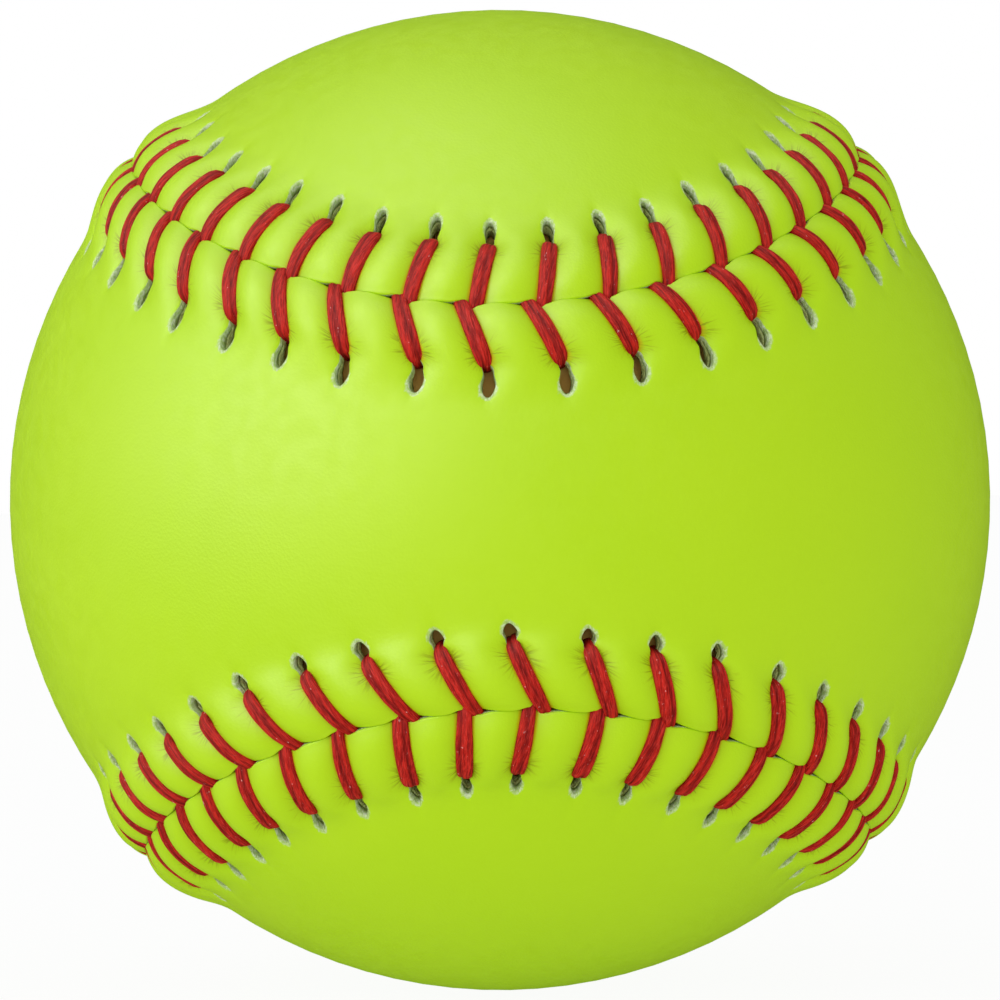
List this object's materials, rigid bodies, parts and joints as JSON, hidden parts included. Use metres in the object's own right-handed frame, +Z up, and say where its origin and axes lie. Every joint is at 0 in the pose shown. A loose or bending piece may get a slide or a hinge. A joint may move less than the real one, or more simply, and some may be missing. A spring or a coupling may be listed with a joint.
{
  "type": "softball",
  "caption": "Raised-seam fastpitch softball: moulded core, cement film, felt-backed figure-eight cover panels and lacing threads.",
  "frame": {"origin": "centre of the ball", "axes": "+Z up; -Y faces the camera of the picture and is the middle of panel A's waist; +Y is the middle of panel B's waist; the round ends of panel A face +X and -X, those of panel B +Z and -Z"},
  "size_m": [0.089, 0.089, 0.089],
  "materials": {
    "core": "moulded polyurethane foam",
    "cement": "dried contact cement",
    "felt": "needled felt",
    "cover": "satin synthetic leather with a fine grain",
    "thread": "waxed cord"
  },
  "bodies": {
    "root": {"core": "core", "cement_coat": "cement", "panel_a_backing": "felt", "panel_a_skin": "cover", "panel_b_backing": "felt", "panel_b_skin": "cover", "thread_1": "thread", "thread_2": "thread"}
  },
  "joints": []
}
